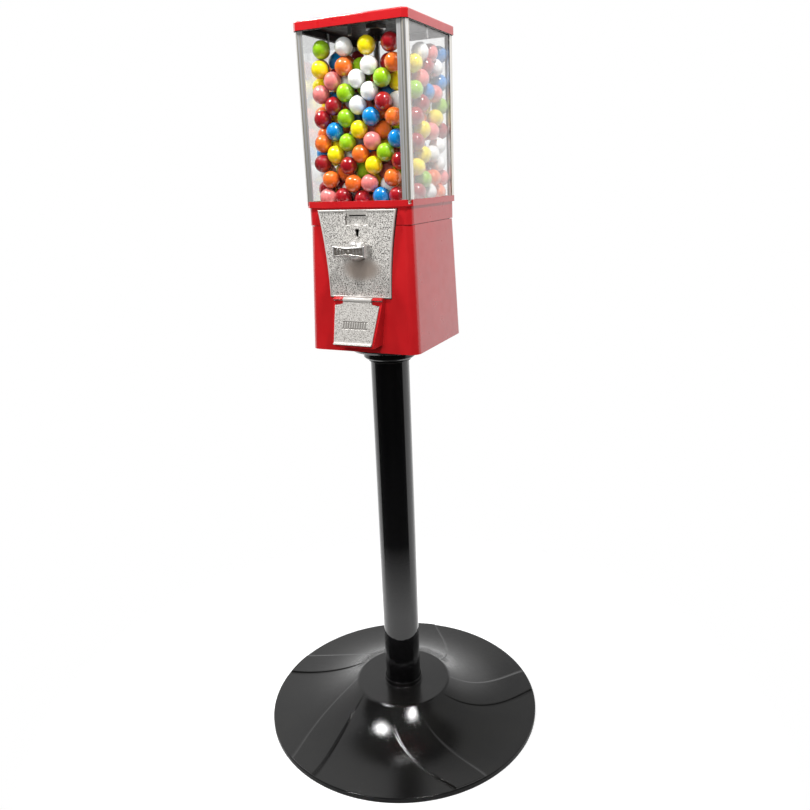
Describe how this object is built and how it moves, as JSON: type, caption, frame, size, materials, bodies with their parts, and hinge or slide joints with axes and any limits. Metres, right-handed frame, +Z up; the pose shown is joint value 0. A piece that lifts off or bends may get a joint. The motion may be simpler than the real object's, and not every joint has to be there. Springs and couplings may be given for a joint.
{
  "type": "gumball machine",
  "caption": "Square glass-sided gumball machine on a round pipe stand, with a turning coin handle, a sprung pawl, a pocketed product wheel, a hinged prize door and a locking lid.",
  "frame": {"origin": "centre of the round base on the floor", "axes": "+Z up, the coin handle and prize door face -Y, +X to the right seen from the front"},
  "size_m": [0.466, 0.466, 1.1125],
  "materials": {
    "red_enamel": "gloss red powder coat on cast aluminium",
    "black_casting": "gloss black enamel on cast iron",
    "black_pipe": "gloss black enamel on steel pipe",
    "zinc_steel": "zinc plated steel",
    "sheet_steel": "plain galvanised sheet",
    "hammered_metal": "coarse sand-textured chrome plate",
    "polished_metal": "polished chrome plate",
    "die_casting": "plain die casting",
    "brass": "machined brass",
    "white_plastic": "moulded plastic",
    "bristle": "black nylon bristle",
    "bright_aluminium": "bright anodised extrusion",
    "clear_panel": "clear panel, polished",
    "lock_chrome": "chrome plated lock",
    "gum_crimson": "glossy sugar shell",
    "gum_orange": "glossy sugar shell",
    "gum_yellow": "glossy sugar shell",
    "gum_lime": "glossy sugar shell",
    "gum_blue": "glossy sugar shell",
    "gum_pink": "glossy sugar shell",
    "gum_white": "glossy sugar shell"
  },
  "bodies": {
    "stand": {"stand_base": "black_casting", "stand_pipe": "black_pipe", "stand_flange": "black_casting", "flange_bolts": "zinc_steel", "flange_washers": "zinc_steel", "centre_rod": "zinc_steel", "rod_nuts": "zinc_steel", "cabinet": "red_enamel", "delivery_chute": "sheet_steel", "chute_screw": "zinc_steel", "hinge_pin": "zinc_steel"},
    "door": {"chute_door": "hammered_metal"},
    "head": {"hopper_housing": "red_enamel", "hopper_pan": "white_plastic", "brush_cover": "sheet_steel", "brushes": "bristle", "globe_frame": "red_enamel", "top_frame": "bright_aluminium", "corner_post_front_left": "bright_aluminium", "corner_post_front_right": "bright_aluminium", "corner_post_back_right": "bright_aluminium", "corner_post_back_left": "bright_aluminium", "panel_front": "clear_panel", "panel_right": "clear_panel", "panel_back": "clear_panel", "panel_left": "clear_panel", "panel_clips": "zinc_steel", "coin_plate": "hammered_metal", "mech_frame": "die_casting", "mech_back": "sheet_steel", "mech_screws": "zinc_steel", "mount_screws": "zinc_steel", "pawl_pivot": "zinc_steel", "pawl_spring": "zinc_steel", "gumballs_crimson": "gum_crimson", "gumballs_orange": "gum_orange", "gumballs_yellow": "gum_yellow", "gumballs_lime": "gum_lime", "gumballs_blue": "gum_blue", "gumballs_pink": "gum_pink", "gumballs_white": "gum_white"},
    "handle": {"handle": "polished_metal", "drive_shaft": "zinc_steel", "coin_wheel": "die_casting", "ratchet_wheel": "die_casting", "drive_pinion": "brass", "retaining_ring": "zinc_steel"},
    "wheel": {"product_wheel": "white_plastic"},
    "pawl": {"coin_pawl": "die_casting"},
    "lid": {"lid": "red_enamel", "lock_body": "lock_chrome", "lock_nut": "die_casting"},
    "plug": {"lock_plug": "lock_chrome"}
  },
  "joints": [
    {"name": "door_swing", "type": "hinge", "parent": "stand", "child": "door", "pos_m": [0, -0.0935, 0.7425], "axis": [-1, 0, 0], "range_deg": [0, 70]},
    {"name": "head_lift", "type": "slide", "parent": "stand", "child": "head", "axis": [0, 0, 1], "range_m": [0, 0.3]},
    {"name": "handle_turn", "type": "hinge", "parent": "head", "child": "handle", "pos_m": [0, -0.08, 0.8115], "axis": [0, 1, 0], "continuous": true},
    {"name": "wheel_turn", "type": "hinge", "parent": "head", "child": "wheel", "pos_m": [0, 0, 0.83], "axis": [0, 0, 1], "continuous": true},
    {"name": "pawl_click", "type": "hinge", "parent": "head", "child": "pawl", "pos_m": [0.033, -0.0752, 0.843], "axis": [0, 1, 0], "range_deg": [0, 10], "deforming": ["pawl_spring"]},
    {"name": "lid_lift", "type": "slide", "parent": "head", "child": "lid", "axis": [0, 0, 1], "range_m": [0, 0.12]},
    {"name": "key_turn", "type": "hinge", "parent": "lid", "child": "plug", "pos_m": [0, 0, 1.1], "axis": [0, 0, 1], "range_deg": [0, 90]}
  ],
  "couplings": [
    {"joint": "wheel_turn", "follows": "handle_turn", "ratio": 0.2}
  ]
}
